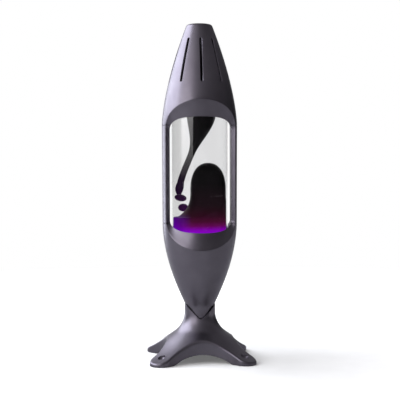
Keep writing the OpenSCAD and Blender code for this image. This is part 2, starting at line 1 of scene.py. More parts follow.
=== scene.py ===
# Liquid motion lamp: its looks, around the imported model. Sizes are in millimetres, which MM turns
# into metres, and repeat the part's own but for small edges. +Z is up; the front window faces -Y.
import math

import bmesh
import bpy
import numpy as np
from mathutils import Matrix, Vector


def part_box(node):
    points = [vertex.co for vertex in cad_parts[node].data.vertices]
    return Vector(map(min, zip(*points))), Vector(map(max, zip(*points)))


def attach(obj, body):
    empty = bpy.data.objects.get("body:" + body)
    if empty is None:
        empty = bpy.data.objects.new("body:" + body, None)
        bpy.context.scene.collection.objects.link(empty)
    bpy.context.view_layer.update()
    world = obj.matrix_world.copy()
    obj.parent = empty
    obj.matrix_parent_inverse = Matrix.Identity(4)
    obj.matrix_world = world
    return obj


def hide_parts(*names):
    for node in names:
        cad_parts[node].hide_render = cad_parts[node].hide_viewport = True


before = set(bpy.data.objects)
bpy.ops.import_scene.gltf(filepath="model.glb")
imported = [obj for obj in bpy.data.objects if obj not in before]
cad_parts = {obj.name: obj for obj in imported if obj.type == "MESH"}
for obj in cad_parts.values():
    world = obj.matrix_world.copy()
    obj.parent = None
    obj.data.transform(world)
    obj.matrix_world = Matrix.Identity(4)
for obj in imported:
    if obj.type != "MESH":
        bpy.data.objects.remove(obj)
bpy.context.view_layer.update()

MM = 0.001
# Distance under which points are joined, and angle over which an edge stays sharp
WELD = 0.01
SHARP = math.radians(32)
# Metres within which a point counts as on a cut, and on its rim
CUT_NEAR = 1e-7
RIM_NEAR = 1e-6
# Fitting of a net to its field: rounds, shift for the slope as a share of the step, least slope, room
NET_PULLS = 4
NET_NUDGE = 1 / 20
LEAST_SLOPE = 0.05
NET_MARGIN = 2

# Spindle
INNER_R = 36.4
BODY_R = 45.1
POST_BASE_R = 44.55
POST_H = 116.4
TIP_Z = 46
LOWER_SEAM = 163
UPPER_SEAM = LOWER_SEAM + POST_H
TOP_Z = 399.8
UPPER_POINT_H = 156.3
UPPER_BULGE = 1.545
LOWER_POINT_H = 128.5
LOWER_BULGE = 1.8
STEM_R = 16.2
STEM_BEND = 16
SHELL_WALL = 3.5
TOP_T = 4
TOP_ROUND = 4
JOINT_GAP = 0.25
# Bevel along the seams, and rounding of the window's outer edge
SEAM_BEVEL = 0.3
EDGE_ROUND = 0.6
SEAT_Z = 140
SEAT_SHELF_R = 34.6
FLOOR_Z = 56
ROD_HOLE_R = 5.05

# Window
WINDOW_MID = 220.5
# Half angle, half height, corner height and squareness of its two edges. At the posts, the inner
# edge stands a little further forward than the part's.
OUTER_EDGE = (67, 88.5, 33.4, 1.85)
INNER_EDGE = (68, 68.2, 15.5, 2.4)
# Radius of the inner edge, and how far its sides stand out beyond that
WINDOW_EDGE_R = 37.2
FRONT_SIDE_LIP = 2.1
BACK_SIDE_LIP = 4.0
SIDE_LIP_POWER = 4
# Widest angles of the opening in the bore, at the middle and at the sides
FLANK_LOW = 78
FLANK_HIGH = 89
FLANK_POWER = 12
BACK_RISE = 6
# Angle at which the front and back halves of the skin meet
HALVES_MEET = 90

# Steps of the spindle's skin, and shares of the radius at which its flat ends have rings
ARCH_STEPS = 128
SIDE_STEPS = 40
POST_STEPS = 12
ROWS = 56
SEAT_ROWS = 10
BOWL_ROWS = 32
TOP_ROUND_STEPS = 10
BEVEL_STEPS = 6
EDGE_STEPS = 5
END_RINGS = (0.66, 0.33, 0)

# Vents
VENT_COUNT = 9
VENT_W = 2.4
VENT_LOW = 329.8
VENT_HIGH = 381.8
VENT_EDGE = 0.6
VENT_INNER_R = 6
VENT_STEPS = 17

# Bottle
BOTTLE_R = 33.6
BOTTLE_WALL = 1.5
BOTTLE_Z = 147
BOTTLE_FLOOR = 150
SHOULDER_Z = 298
SHOULDER_H = 17
MOUTH_R = 12
MOUTH_TOP = 328
BOTTLE_FOOT = 2.0
LATHE_SIDES = 160
SHOULDER_STEPS = 25
FOOT_STEPS = 7
BOTTLE_ROWS = 80
# Where the painted shade strip at the left of the glass starts to clear, and where it has ended
GLASS_SHADE_X = (-23.5, -21)
# Heights between which the reflections on the glass come in, and their steps
COAT_LOW_Z = 190
COAT_FULL_Z = 226
COAT_STEPS = 4

# Wax
WAX_R = 31.8
POOL_H = 20
DOME_X = 10.2
DOME_R = 21.3
DOME_WAIST = 52
DOME_HEAD_H = 32.7
DOME_SQUARE = 2.3
DOME_FLARE = 12.4
DOME_FLARE_H = 30
DOME_FLARE_POWER = 3
POOL_BLEND = 1.5
WAX_ROUND = 0.8
COLUMN_TOP = 296.5
LAYER_T = 2
COLUMN_LEN = 99.8
COLUMN_TOP_R = 17.6
COLUMN_NECK_R = 4.2
COLUMN_X = 2.2
COLUMN_LEAN = 26.7
COLUMN_BACK = 6.4
COLUMN_NARROW = 0.53
COLUMN_SWELL = 0.85
COLUMN_CLOSE = 0.9
COLUMN_TIP = 0.4
COLUMN_BEND = 1.15
# Rings that close the column: drop and radius, as shares of its last radius
COLUMN_END = ((1 / 3, 0.7), (1 / 2, 0))
# Beads: half width, half height and tilt
UPPER_BEAD = (7.2, 4.2, math.radians(7))
LOWER_BEAD = (6.2, 4.8, 0)
WAX_STEP = 1.0
WAX_SIDES = 64
COLUMN_ROWS = 140
BEAD_ROWS = 33
# Height over which the painted lamplight in the wax runs out, and where the painted glow on its left side
# is full and ends
PAINTED_GLOW_H = 100
LEFT_PAINTED_GLOW_X = (-29, -12)

# Stand
TOE_REACH = 69
TOE_R = 13.2
TOE_HOLE_R = 2.5
TOE_SINK_Z = 6.75
WAIST_R = 40
TOE_H = 3.5
TOE_SLOPE = math.radians(17)
TOE_INSET = 3
LEG_SLOPE = math.radians(34.5)
FLARE_R = 30
NECK_TOP = 65.4
NECK_LIP = 0.3
NOSE_GAP = 0.3
NOTCH_Z = 48.6
NOTCH_W = 34.8
NOTCH_ROUND = 1.2
HOLLOW_H = 16.5
HOLLOW_R = 61
WASHER_POCKET_R = 11
LEG_FILLET = 1.6
LEG_BLEND = 8
NOTCH_EDGE = 0.7
NOTCH_TIP = 1.5
NOTCH_NEAR = 0.2
NOTCH_BENDS = 3
FOOT_FILLET = 0.9
# Height of the raw form above the neck, before its top is cut flat
STAND_OVER = 3
STAND_STEP = 1.1
CUT_OVER = 1
SOCKET_ROWS = 32
NOTCH_STEPS = 121
ROD_SIDES = 96
HOLE_SIDES = 48

# Camera, from the photograph's perspective; the frame is FRAME_PX square
FRAME_PX = 400
PX_MM = 1.2
VIEW_PX = 1050
HORIZON_PX = 170
GROUND_PX = 358.5
VIEW_AZIMUTH = math.radians(-4.5)
VIEW_ROLL = math.radians(-0.15)
AIM_RIGHT_PX = 0.35
SENSOR_MM = 36
CLIP_FAR = 100

# Studio, in metres. Panels: name, azimuth from the front, low edge, high edge, width, colour,
# strength, and height over which the lower edge fades
PANEL_AWAY = 1.1
PANEL_FADE = 0.15
COOL = (0.92, 0.95, 1.0)
NEUTRAL = (1.0, 0.99, 1.0)
VIOLET = (0.95, 0.94, 1.0)
WARM = (1.0, 0.97, 0.97)
PANELS = (
    ("key_panel", -119, 0.35, 1.5, 0.66, COOL, 9.0, PANEL_FADE),
    ("side_panel", -143, 0.0, 1.5, 0.3, COOL, 7.0, 0),
    ("high_panel", -93, 0.45, 1.9, 0.6, COOL, 8.5, 0),
    ("veil_panel", -57, 0.2, 0.72, 1.1, NEUTRAL, 4.5, PANEL_FADE),
    ("veil_top_panel", -50, 0.72, 1.0, 0.7, WARM, 4.2, 0),
    ("low_left_panel", -57, 0.0, 0.2, 0.8, VIOLET, 1.4, 0),
    ("low_right_panel", 86, 0.0, 0.17, 0.9, WARM, 1.2, 0),
)
# Light of the room from left to right, and its share by the sine of the height angle
ROOM = ((0.0, 1.5), (0.12, 1.5), (0.26, 1.25), (0.36, 0.9), (0.45, 0.56), (0.66, 0.38), (0.9, 0.25))
RISE = ((0.0, 0.1), (0.12, 0.1), (0.36, 1.0), (0.45, 1.15), (0.54, 1.9), (0.62, 1.15), (0.72, 0.95))
ROOM_TINT = (1.0, 0.98, 1.0)
# Where the white backdrop comes in towards the back, and where it ends towards the top
BACKDROP_Y = (0.85, 0.97)
BACKDROP_Z = (0.2, 0.5)
WHITE = (1, 1, 1, 1)
UNLIT = (0, 0, 0, 1)
FLOOR_HALF = 6.0
# White added to the floor in sight, and the distances between which it grows
FLOOR_LIFT = (0.14, 1.0)
FLOOR_LIFT_REACH = (0.12, 0.8)
# Distances between which the floor's own colour in sight runs out
FLOOR_FAR = (0.5, 1.2)


def upper_r(z):
    return BODY_R * (1 - np.maximum(0, (z - UPPER_SEAM) / UPPER_POINT_H) ** UPPER_BULGE)


def lower_r(z):
    curve = POST_BASE_R * (1 - np.maximum(0, (LOWER_SEAM - z) / LOWER_POINT_H) ** LOWER_BULGE)
    return (np.maximum(curve, 0) ** STEM_BEND + STEM_R ** STEM_BEND) ** (1 / STEM_BEND)


def spindle_r(z):
    z = np.asarray(z, float)
    post = POST_BASE_R + (BODY_R - POST_BASE_R) * (z - LOWER_SEAM) / POST_H
    return np.where(z > UPPER_SEAM, upper_r(z), np.where(z < LOWER_SEAM, lower_r(z), post))


def smooth(u):
    return u * u * (3 - 2 * u)


def round_max(a, b, radius):
    """Inside of both a and b, with their shared edge rounded."""
    corner = np.hypot(np.maximum(a + radius, 0), np.maximum(b + radius, 0))
    return np.minimum(np.maximum(a, b), -radius) + corner


def soft_min(a, b, reach):
    """Inside of either a or b, with a soft hollow between them."""
    h = np.maximum(reach - np.abs(a - b), 0) / reach
    return np.minimum(a, b) - h * h * reach / 4


class Skin:
    """Points and faces of one mesh."""

    def __init__(self):
        self.points = []
        self.faces = []

    def grid(self, rows, close=False):
        """Faces between rows of points, each row an open line or a closed ring."""
        rows = np.asarray(rows, float)
        n, m, _ = rows.shape
        first = len(self.points)
        self.points.extend(rows.reshape(-1, 3).tolist())
        for i in range(n - 1):
            for j in range(m if close else m - 1):
                k = (j + 1) % m
                a = first + i * m
                b = a + m
                self.faces.append((a + j, a + k, b + k, b + j))

    def lathe(self, outline, sides=LATHE_SIDES, centre=(0, 0)):
        turn = np.linspace(0, 2 * math.pi, sides, endpoint=False)
        rows = [np.stack([
            centre[0] + r * np.cos(turn), centre[1] + r * np.sin(turn), np.full(sides, float(z))
        ], 1) for r, z in outline]
        self.grid(rows, close=True)

    def join(self, other, turn=1):
        """Adds another skin, turned half round the axis where turn is -1."""
        first = len(self.points)
        self.points.extend([turn * x, turn * y, z] for x, y, z in other.points)
        self.faces.extend(tuple(first + i for i in face) for face in other.faces)


def welded(skin):
    """The skin as a bmesh in metres, its shared points joined and its faces turned outwards."""
    mesh = bpy.data.meshes.new("skin")
    mesh.from_pydata((np.asarray(skin.points) * MM).tolist(), [], skin.faces)
    bm = bmesh.new()
    bm.from_mesh(mesh)
    bpy.data.meshes.remove(mesh)
    bmesh.ops.remove_doubles(bm, verts=bm.verts, dist=WELD * MM)
    bmesh.ops.recalc_face_normals(bm, faces=bm.faces)
    return bm


def as_object(name, bm):
    mesh = bpy.data.meshes.new(name)
    bm.to_mesh(mesh)
    bm.free()
    piece = bpy.data.objects.new(name, mesh)
    bpy.context.scene.collection.objects.link(piece)
    return piece


def carve(piece, *skins):
    """Cuts the closed skins out of the piece."""
    for skin in skins:
        cutter = as_object("cutter", welded(skin))
        step = piece.modifiers.new("cut", "BOOLEAN")
        step.operation = "DIFFERENCE"
        step.solver = "EXACT"
        step.object = cutter
        graph = bpy.context.evaluated_depsgraph_get()
        old = piece.data
        piece.data = bpy.data.meshes.new_from_object(piece.evaluated_get(graph))
        piece.data.name = piece.name
        piece.modifiers.clear()
        bpy.data.meshes.remove(old)
        bpy.data.objects.remove(cutter)
    return piece


def finish_piece(piece, body, node, look):
    """Smooths the piece, gives it its material, and puts it in the node's place."""
    piece.data.shade_smooth()
    piece.data.set_sharp_from_angle(angle=SHARP)
    piece.data.materials.clear()
    piece.data.materials.append(look)
    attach(piece, body)
    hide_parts(node)


def surface_net(field, low, high, step):
    """Closed skin of quads on the field's zero surface; the field is negative inside."""
    axes = [np.arange(a, b + step, step) for a, b in zip(low, high)]
    value = field(*np.meshgrid(*axes, indexing="ij"))
    inside = value < 0
    shape = tuple(n - 1 for n in value.shape)
    total = np.zeros((*shape, 3))
    count = np.zeros(shape)

    def corner(array, offset):
        return array[tuple(slice(o, o + n) for o, n in zip(offset, shape))]

    for axis in range(3):
        others = [k for k in range(3) if k != axis]
        for u in (0, 1):
            for v in (0, 1):
                start = [0, 0, 0]
                start[others[0]] = u
                start[others[1]] = v
                end = list(start)
                end[axis] = 1
                f0 = corner(value, start)
                f1 = corner(value, end)
                crossed = (f0 < 0) != (f1 < 0)
                share = np.where(crossed, f0 / np.where(crossed, f0 - f1, 1), 0)
                total[..., axis] += share
                total[..., others[0]] += crossed * u
                total[..., others[1]] += crossed * v
                count += crossed
    used = count > 0
    number = np.full(shape, -1)
    number[used] = np.arange(used.sum())
    points = (np.argwhere(used) + total[used] / count[used][:, None]) * step + np.asarray(low)
    skin = Skin()
    for axis in range(3):
        others = [k for k in range(3) if k != axis]
        ahead = [slice(None)] * 3
        behind = [slice(None)] * 3
        ahead[axis] = slice(1, None)
        behind[axis] = slice(None, -1)
        for cell in np.argwhere(inside[tuple(ahead)] != inside[tuple(behind)]):
            quad = []
            for u, v in ((0, 0), (1, 0), (1, 1), (0, 1)):
                at = cell.copy()
                at[others[0]] -= u
                at[others[1]] -= v
                quad.append(int(number[tuple(at)]))
            skin.faces.append(tuple(quad))
    nudge = step * NET_NUDGE
    for _ in range(NET_PULLS):
        here = field(*points.T)
        slope = np.stack([
            (field(*(points + nudge * way).T) - field(*(points - nudge * way).T)) / (2 * nudge)
            for way in np.eye(3)
        ], 1)
        move = here[:, None] * slope / np.maximum((slope ** 2).sum(1), LEAST_SLOPE)[:, None]
        points -= np.clip(move, -step / 2, step / 2)
    skin.points = points.tolist()
    return skin


# Spindle: one closed skin with both windows, from which the shells and the posts are cut

def arch(edge, side, grow, rise):
    """Angles and heights along the window's upper (side 1) or lower (side -1) arch."""
    half_angle, half_h, corner_h, square = edge
    turn = np.linspace(0, math.pi, ARCH_STEPS)
    c = np.cos(turn)
    s = np.abs(np.sin(turn))
    angle = (half_angle + math.degrees(grow / BODY_R)) * np.sign(c) * np.abs(c) ** (2 / square)
    height = side * (half_h + grow - corner_h + corner_h * s ** (2 / square)) + max(0, side) * rise
    return np.stack([angle, height + WINDOW_MID], 1)


def window_loop(edge, grow, rise):
    """The window's whole edge: upper arch, left side, lower arch, right side."""
    over = arch(edge, 1, grow, rise)
    under = arch(edge, -1, grow, rise)[::-1]
    heights = np.linspace(over[0, 1], under[0, 1], SIDE_STEPS)[1:-1]
    left = np.stack([np.full_like(heights, over[-1, 0]), heights], 1)
    right = np.stack([np.full_like(heights, over[0, 0]), heights[::-1]], 1)
    return np.concatenate([over, left, under, right])


def on_wall(angle, z, radius):
    a = np.radians(angle)
    return np.stack([radius * np.sin(a), -radius * np.cos(a), z + 0 * a], -1)


def window_edge_r(angle, side_lip):
    return WINDOW_EDGE_R + side_lip * np.abs(angle / INNER_EDGE[0]) ** SIDE_LIP_POWER


def bore_angle(angle, side_lip):
    """Where the straight way back from the window's inner edge comes out in the bore."""
    x = window_edge_r(angle, side_lip) * np.abs(np.sin(np.radians(angle))) / INNER_R
    straight = np.degrees(np.arcsin(np.minimum(x, 1)))
    sideways = np.abs(angle / INNER_EDGE[0]) ** FLANK_POWER
    limit = FLANK_LOW + (FLANK_HIGH - FLANK_LOW) * sideways
    return np.sign(angle) * np.minimum(straight, limit)


def wall_blocks(skin, lines, rise, radius, upper_rows, lower_rows):
    """Half of the wall round the window, from its edge lines to the rows above and below them."""
    over, under = lines
    beside = np.linspace(HALVES_MEET, over[0, 0], POST_STEPS)
    share = (beside - over[0, 0]) / (HALVES_MEET - over[0, 0])
    top = over[0, 1] - rise * share
    low = np.full_like(top, under[0, 1])
    for line, flat, rows in ((over, top[:-1], upper_rows), (under, low[:-1], lower_rows)):
        angle = np.concatenate([beside[:-1], line[:, 0], -beside[-2::-1]])
        z = np.concatenate([flat, line[:, 1], flat[::-1]])
        skin.grid([on_wall(angle, row_z, row_r) for row_z, row_r in rows(z)])
    for sign in (1, -1):
        heights = [low + (top - low) * u for u in np.linspace(0, 1, SIDE_STEPS)]
        skin.grid([on_wall(sign * beside, z, radius(z)) for z in heights])


def rows_between(start, end, radius, count=ROWS):
    for u in np.linspace(0, 1, count):
        z = start + (end - start) * u
        yield z, radius(z)


def outside_above(start):
    lean = math.atan(float(upper_r(TOP_Z - TOP_ROUND - 1) - upper_r(TOP_Z - TOP_ROUND + 1)) / 2)
    arc_z = TOP_Z - TOP_ROUND * (1 - math.sin(lean))
    arc_r = float(upper_r(arc_z)) - TOP_ROUND * math.cos(lean)
    yield from rows_between(start, arc_z, spindle_r)
    for a in np.linspace(lean, math.pi / 2, TOP_ROUND_STEPS)[1:]:
        z = TOP_Z - TOP_ROUND + TOP_ROUND * math.sin(a)
        yield np.full_like(start, z), arc_r + TOP_ROUND * math.cos(a)
    for share in END_RINGS:
        yield np.full_like(start, TOP_Z), arc_r * share


def outside_below(start):
    yield from rows_between(start, TIP_Z, spindle_r)


def inside_above(start):
    end = TOP_Z - TOP_T
    yield from rows_between(start, end, lambda z: np.minimum(INNER_R, upper_r(z) - SHELL_WALL))
    for share in END_RINGS:
        yield np.full_like(start, end), float(upper_r(end) - SHELL_WALL) * share


def inside_below(start):
    yield from rows_between(start, SEAT_Z, lambda z: INNER_R, SEAT_ROWS)
    level = np.full_like(start, SEAT_Z)
    yield from rows_between(
        level, FLOOR_Z, lambda z: np.minimum(SEAT_SHELF_R, lower_r(z) - SHELL_WALL), BOWL_ROWS)
    yield np.full_like(start, FLOOR_Z), ROD_HOLE_R
    yield np.full_like(start, TIP_Z), ROD_HOLE_R
    yield np.full_like(start, TIP_Z), float(lower_r(TIP_Z))


def window_rows(rise, side_lip):
    """Rows round the window's bevel, from its inner lip to the rounded outer edge."""
    outer = window_loop(OUTER_EDGE, 0, rise)
    grown = window_loop(OUTER_EDGE, EDGE_ROUND, rise)
    inner = window_loop(INNER_EDGE, 0, rise)
    low = on_wall(inner[:, 0], inner[:, 1], window_edge_r(inner[:, 0], side_lip))
    high = on_wall(outer[:, 0], outer[:, 1], spindle_r(outer[:, 1]))
    wall = on_wall(grown[:, 0], grown[:, 1], spindle_r(grown[:, 1]))
    way = low - high
    start = high + way * (EDGE_ROUND / np.linalg.norm(way, axis=1))[:, None]
    yield on_wall(bore_angle(inner[:, 0], side_lip), inner[:, 1], INNER_R)
    for u in np.linspace(0, 1, BEVEL_STEPS):
        yield low + (start - low) * u
    for u in np.linspace(0, 1, EDGE_STEPS)[1:]:
        yield start * (1 - u) ** 2 + high * 2 * u * (1 - u) + wall * u * u


def spindle_skin():
    skin = Skin()
    for turn, rise, side_lip in ((1, 0, FRONT_SIDE_LIP), (-1, BACK_RISE, BACK_SIDE_LIP)):
        half = Skin()
        edges = [arch(OUTER_EDGE, way, EDGE_ROUND, rise) for way in (1, -1)]
        wall_blocks(half, edges, rise, spindle_r, outside_above, outside_below)
        bores = [arch(INNER_EDGE, way, 0, rise) for way in (1, -1)]
        for line in bores:
            line[:, 0] = bore_angle(line[:, 0], side_lip)
        wall_blocks(half, bores, rise, lambda z: INNER_R, inside_above, inside_below)
        half.grid(list(window_rows(rise, side_lip)), close=True)
        skin.join(half, turn)
    return skin


def cut_level(bm, z, keep_above):
    """Cuts the spindle at height z, bevels the cut's rim a little, and closes it."""
    way = 1 if keep_above else -1

    def bisect(height, clear):
        bmesh.ops.bisect_plane(
            bm, geom=[*bm.verts, *bm.edges, *bm.faces], dist=CUT_NEAR,
            plane_co=(0, 0, height * MM), plane_no=(0, 0, way), clear_inner=clear)

    bisect(z, True)
    bisect(z + way * SEAM_BEVEL, False)
    bm.normal_update()
    rim = [v for v in bm.verts if abs(v.co.z - z * MM) < RIM_NEAR]
    for v in rim:
        if math.hypot(v.co.x, v.co.y) > (INNER_R + WELD) * MM:
            inward = Vector((v.normal.x, v.normal.y, 0)).normalized()
            v.co -= inward * SEAM_BEVEL * MM
    edges = [e for e in bm.edges if e.is_boundary]
    bmesh.ops.holes_fill(bm, edges=edges, sides=0)
    bmesh.ops.recalc_face_normals(bm, faces=bm.faces)


def vent_ring(grow):
    half = VENT_W / 2
    turn = np.linspace(0, math.pi, VENT_STEPS)
    x = (half + grow) * np.cos(turn)
    z = (half + grow) * np.sin(turn)
    top = np.stack([x, VENT_HIGH - half + z], 1)
    low = np.stack([-x, VENT_LOW + half - z], 1)
    return np.concatenate([top, low])


def vent_skin():
    """Upright slots with round ends and broken edges, each a closed prism from near the axis."""
    skin = Skin()
    ring = vent_ring(0)
    wide = vent_ring(VENT_EDGE)
    inner = ring[:, 1] * 0 + VENT_INNER_R
    outer = wide[:, 1] * 0 + BODY_R
    steps = ((ring, inner), (ring, upper_r(ring[:, 1]) - VENT_EDGE), (wide, upper_r(wide[:, 1])),
             (wide, outer))
    for k in range(VENT_COUNT):
        a = 2 * math.pi * k / VENT_COUNT
        out = np.array([math.sin(a), -math.cos(a), 0])
        across = np.array([math.cos(a), math.sin(a), 0])
        rows = [np.outer(r, out) + np.outer(line[:, 0], across) + np.outer(line[:, 1], (0, 0, 1))
                for line, r in steps]
        ends = [np.repeat([row.mean(0)], len(ring), 0) for row in (rows[0], rows[-1])]
        skin.grid([ends[0], *rows, ends[1]], close=True)
    return skin


# Stand: a rounded form from the turned outline, the star and the hollow underneath

NECK_R = float(lower_r(NECK_TOP)) + NOSE_GAP + NECK_LIP
TOE_AXIS = TOE_REACH / math.sqrt(2)
SIDE_INSET = WAIST_R - TOE_R
SIDE_PLACE = (2 * TOE_AXIS ** 2 - SIDE_INSET ** 2) / (2 * (TOE_AXIS - SIDE_INSET))
SIDE_R = SIDE_PLACE - WAIST_R
PAD_R = TOE_REACH - TOE_INSET
PAD_Z = TOE_H + (TOE_R + TOE_INSET) * math.tan(TOE_SLOPE)
LEG_ROOT_Z = PAD_Z + (PAD_R - NECK_R) * math.tan(LEG_SLOPE)
NOTCH_LIFT = (NECK_TOP - NOTCH_Z) / (NOTCH_W / 2) ** NOTCH_ROUND
FLARE_LEN = FLARE_R * math.tan(math.pi / 4 - LEG_SLOPE / 2)
FLARE_PLACE_R = NECK_R + FLARE_R
FLARE_PLACE_Z = LEG_ROOT_Z + FLARE_LEN
HOLLOW_SPHERE_R = (HOLLOW_R ** 2 + HOLLOW_H ** 2) / (2 * HOLLOW_H)


def stand_field(x, y, z):
    r = np.hypot(x, y)
    from_r = r - FLARE_PLACE_R
    from_z = z - FLARE_PLACE_Z
    turn = np.arctan2(-from_z, -from_r)
    slope = (z - LEG_ROOT_Z + (r - NECK_R) * math.tan(LEG_SLOPE)) * math.cos(LEG_SLOPE)
    flare = FLARE_R - np.hypot(from_r, from_z)
    top = np.where(turn < 0, r - NECK_R, np.where(turn < math.pi / 2 - LEG_SLOPE, flare, slope))
    pad = (z - PAD_Z + (r - PAD_R) * math.tan(TOE_SLOPE)) * math.cos(TOE_SLOPE)
    top = soft_min(top, pad, LEG_BLEND)
    a = np.maximum(np.abs(x), np.abs(y))
    b = np.minimum(np.abs(x), np.abs(y))
    hollow_side = SIDE_R - np.hypot(a - SIDE_PLACE, b)
    toe = np.hypot(a - TOE_AXIS, b - TOE_AXIS) - TOE_R
    inward = (TOE_AXIS - SIDE_PLACE) * b - TOE_AXIS * (a - SIDE_PLACE)
    star = np.where(inward > 0, hollow_side, toe)
    body = round_max(top, star, LEG_FILLET)
    body = round_max(body, z - NECK_TOP - STAND_OVER, FOOT_FILLET)
    under = HOLLOW_SPHERE_R - np.hypot(r, z - HOLLOW_H + HOLLOW_SPHERE_R)
    return round_max(round_max(body, -z, FOOT_FILLET), under, FOOT_FILLET)


def notch_height(x):
    return NOTCH_Z + NOTCH_LIFT * np.sqrt(x * x + NOTCH_TIP ** 2) ** NOTCH_ROUND


def round_notch(piece):
    """Breaks the notch's sharp outer edge."""
    bm = bmesh.new()
    bm.from_mesh(piece.data)
    found = []
    for edge in bm.edges:
        x, y, z = (edge.verts[0].co + edge.verts[1].co) / 2 / MM
        on_notch = abs(z - notch_height(x)) < NOTCH_NEAR and z < NECK_TOP - NOTCH_EDGE
        outer = math.hypot(x, y) > STEM_R + NOSE_GAP + NOTCH_EDGE
        if on_notch and outer and len(edge.link_faces) == 2 and edge.calc_face_angle() > SHARP:
            found.append(edge)
    bmesh.ops.bevel(bm, geom=found, offset=NOTCH_EDGE * MM, segments=NOTCH_BENDS, profile=0.5,
                    affect="EDGES")
    bm.to_mesh(piece.data)
    bm.free()


def stand_cutters():
    """Socket and flat top, notch, rod hole with the washer's pocket, and toe holes with wide rims."""
    socket = Skin()
    side = [(float(lower_r(z)) + NOSE_GAP, z) for z in np.linspace(TIP_Z, NECK_TOP, SOCKET_ROWS)]
    wide = NECK_R + STAND_OVER
    high = NECK_TOP + 2 * STAND_OVER
    socket.lathe([(0, TIP_Z), *side, (wide, NECK_TOP), (wide, high), (0, high)])
    across = np.linspace(-wide, wide, NOTCH_STEPS)
    edge = np.stack([across, notch_height(across)], 1)
    ring = np.concatenate([edge, [[wide, high + wide], [-wide, high + wide]]])
    rows = [np.array([(x, y, z) for x, z in ring]) for y in (-WAIST_R, WAIST_R)]
    middle = [np.repeat([[0, row[0, 1], high]], len(ring), 0) for row in rows]
    notch = Skin()
    notch.grid([middle[0], *rows, middle[1]], close=True)
    rod = Skin()
    rod.lathe([
        (0, -CUT_OVER), (WASHER_POCKET_R, -CUT_OVER), (WASHER_POCKET_R, HOLLOW_H),
        (ROD_HOLE_R, HOLLOW_H), (ROD_HOLE_R, TIP_Z + CUT_OVER), (0, TIP_Z + CUT_OVER)
    ], ROD_SIDES)
    holes = Skin()
    wide_r = 2 * TOE_HOLE_R
    for sx in (1, -1):
        for sy in (1, -1):
            holes.lathe([
                (0, -CUT_OVER), (TOE_HOLE_R, -CUT_OVER), (TOE_HOLE_R, TOE_SINK_Z),
                (wide_r, TOE_SINK_Z + wide_r - TOE_HOLE_R), (wide_r, HOLLOW_H), (0, HOLLOW_H)
            ], HOLE_SIDES, (sx * TOE_AXIS, sy * TOE_AXIS))
    return socket, notch, rod, holes


# Bottle and wax

def bottle_outline():
    def side(inset):
        turn = np.linspace(0, math.pi / 2, SHOULDER_STEPS)
        return [(MOUTH_R - inset + (BOTTLE_R - MOUTH_R) * math.cos(a),
                 SHOULDER_Z + (SHOULDER_H - inset) * math.sin(a)) for a in turn]

    foot_r = BOTTLE_R - BOTTLE_FOOT
    foot_z = BOTTLE_Z + BOTTLE_FOOT
    arc = [(foot_r + BOTTLE_FOOT * math.sin(a), foot_z - BOTTLE_FOOT * math.cos(a))
           for a in np.linspace(0, math.pi / 2, FOOT_STEPS)]
    inside = side(BOTTLE_WALL)
    straight = np.linspace(BOTTLE_FLOOR, SHOULDER_Z, BOTTLE_ROWS)
    outer = [(BOTTLE_R, z) for z in straight[:-1]]
    inner = [(BOTTLE_R - BOTTLE_WALL, z) for z in straight[-2::-1]]
    return [
        (0, BOTTLE_Z), *arc, *outer, *side(0), (MOUTH_R, MOUTH_TOP),
        (MOUTH_R - BOTTLE_WALL, MOUTH_TOP), *inside[::-1], *inner, (0, BOTTLE_FLOOR)
    ]


def dome_field(x, y, z):
    up = z - BOTTLE_FLOOR
    rho = np.hypot(x - DOME_X, y)
    above = np.maximum(up - DOME_WAIST, 0)
    head = ((rho / DOME_R) ** DOME_SQUARE + (above / DOME_HEAD_H) ** DOME_SQUARE) ** (1 / DOME_SQUARE)
    below = np.maximum(DOME_WAIST - up, 0)
    dome = np.where(up > DOME_WAIST, (head - 1) * DOME_R,
                    rho - DOME_R - DOME_FLARE * (below / DOME_FLARE_H) ** DOME_FLARE_POWER)
    body = soft_min(dome, up - POOL_H, POOL_BLEND)
    body = round_max(body, np.hypot(x, y) - WAX_R, WAX_ROUND)
    return round_max(body, -up, WAX_ROUND)


def column_skin():
    """Column that leans to the left as it thins out, under the layer that it hangs from."""
    turn = np.linspace(0, 2 * math.pi, WAX_SIDES, endpoint=False)
    rows = []

    def ring(x, y, z, r):
        rows.append(np.stack([
            x + r * np.cos(turn), y + r * np.sin(turn), np.full(WAX_SIDES, float(z))], 1))

    ring(0, 0, COLUMN_TOP, 0)
    ring(0, 0, COLUMN_TOP, WAX_R - WAX_ROUND)
    ring(0, 0, COLUMN_TOP - WAX_ROUND, WAX_R)
    low = COLUMN_TOP - LAYER_T
    ring(0, 0, low + WAX_ROUND, WAX_R)
    ring(0, 0, low, WAX_R - WAX_ROUND)
    run = COLUMN_LEN - LAYER_T / 2
    first = LAYER_T / 2 / run
    for u in np.linspace(first, 1, COLUMN_ROWS):
        lean = smooth(u ** COLUMN_BEND)
        r = COLUMN_NECK_R + (COLUMN_TOP_R - COLUMN_NECK_R) * math.cos(
            math.pi / 2 * min(1, u / COLUMN_NARROW)) ** 2
        if u > COLUMN_SWELL:
            r += math.sin(math.pi * (u - COLUMN_SWELL) / (1 - COLUMN_SWELL))
        if u > COLUMN_CLOSE:
            r -= COLUMN_NECK_R * COLUMN_TIP * ((u - COLUMN_CLOSE) / (1 - COLUMN_CLOSE)) ** 2
        ring(COLUMN_X - COLUMN_LEAN * lean, COLUMN_BACK * smooth(min(1, u / COLUMN_NARROW)),
             COLUMN_TOP - LAYER_T / 2 - run * u, r)
    tip = rows[-1].mean(0)
    for drop, share in COLUMN_END:
        ring(tip[0], tip[1], tip[2] - r * drop, r * share)
    skin = Skin()
    skin.grid(rows, close=True)
    return skin


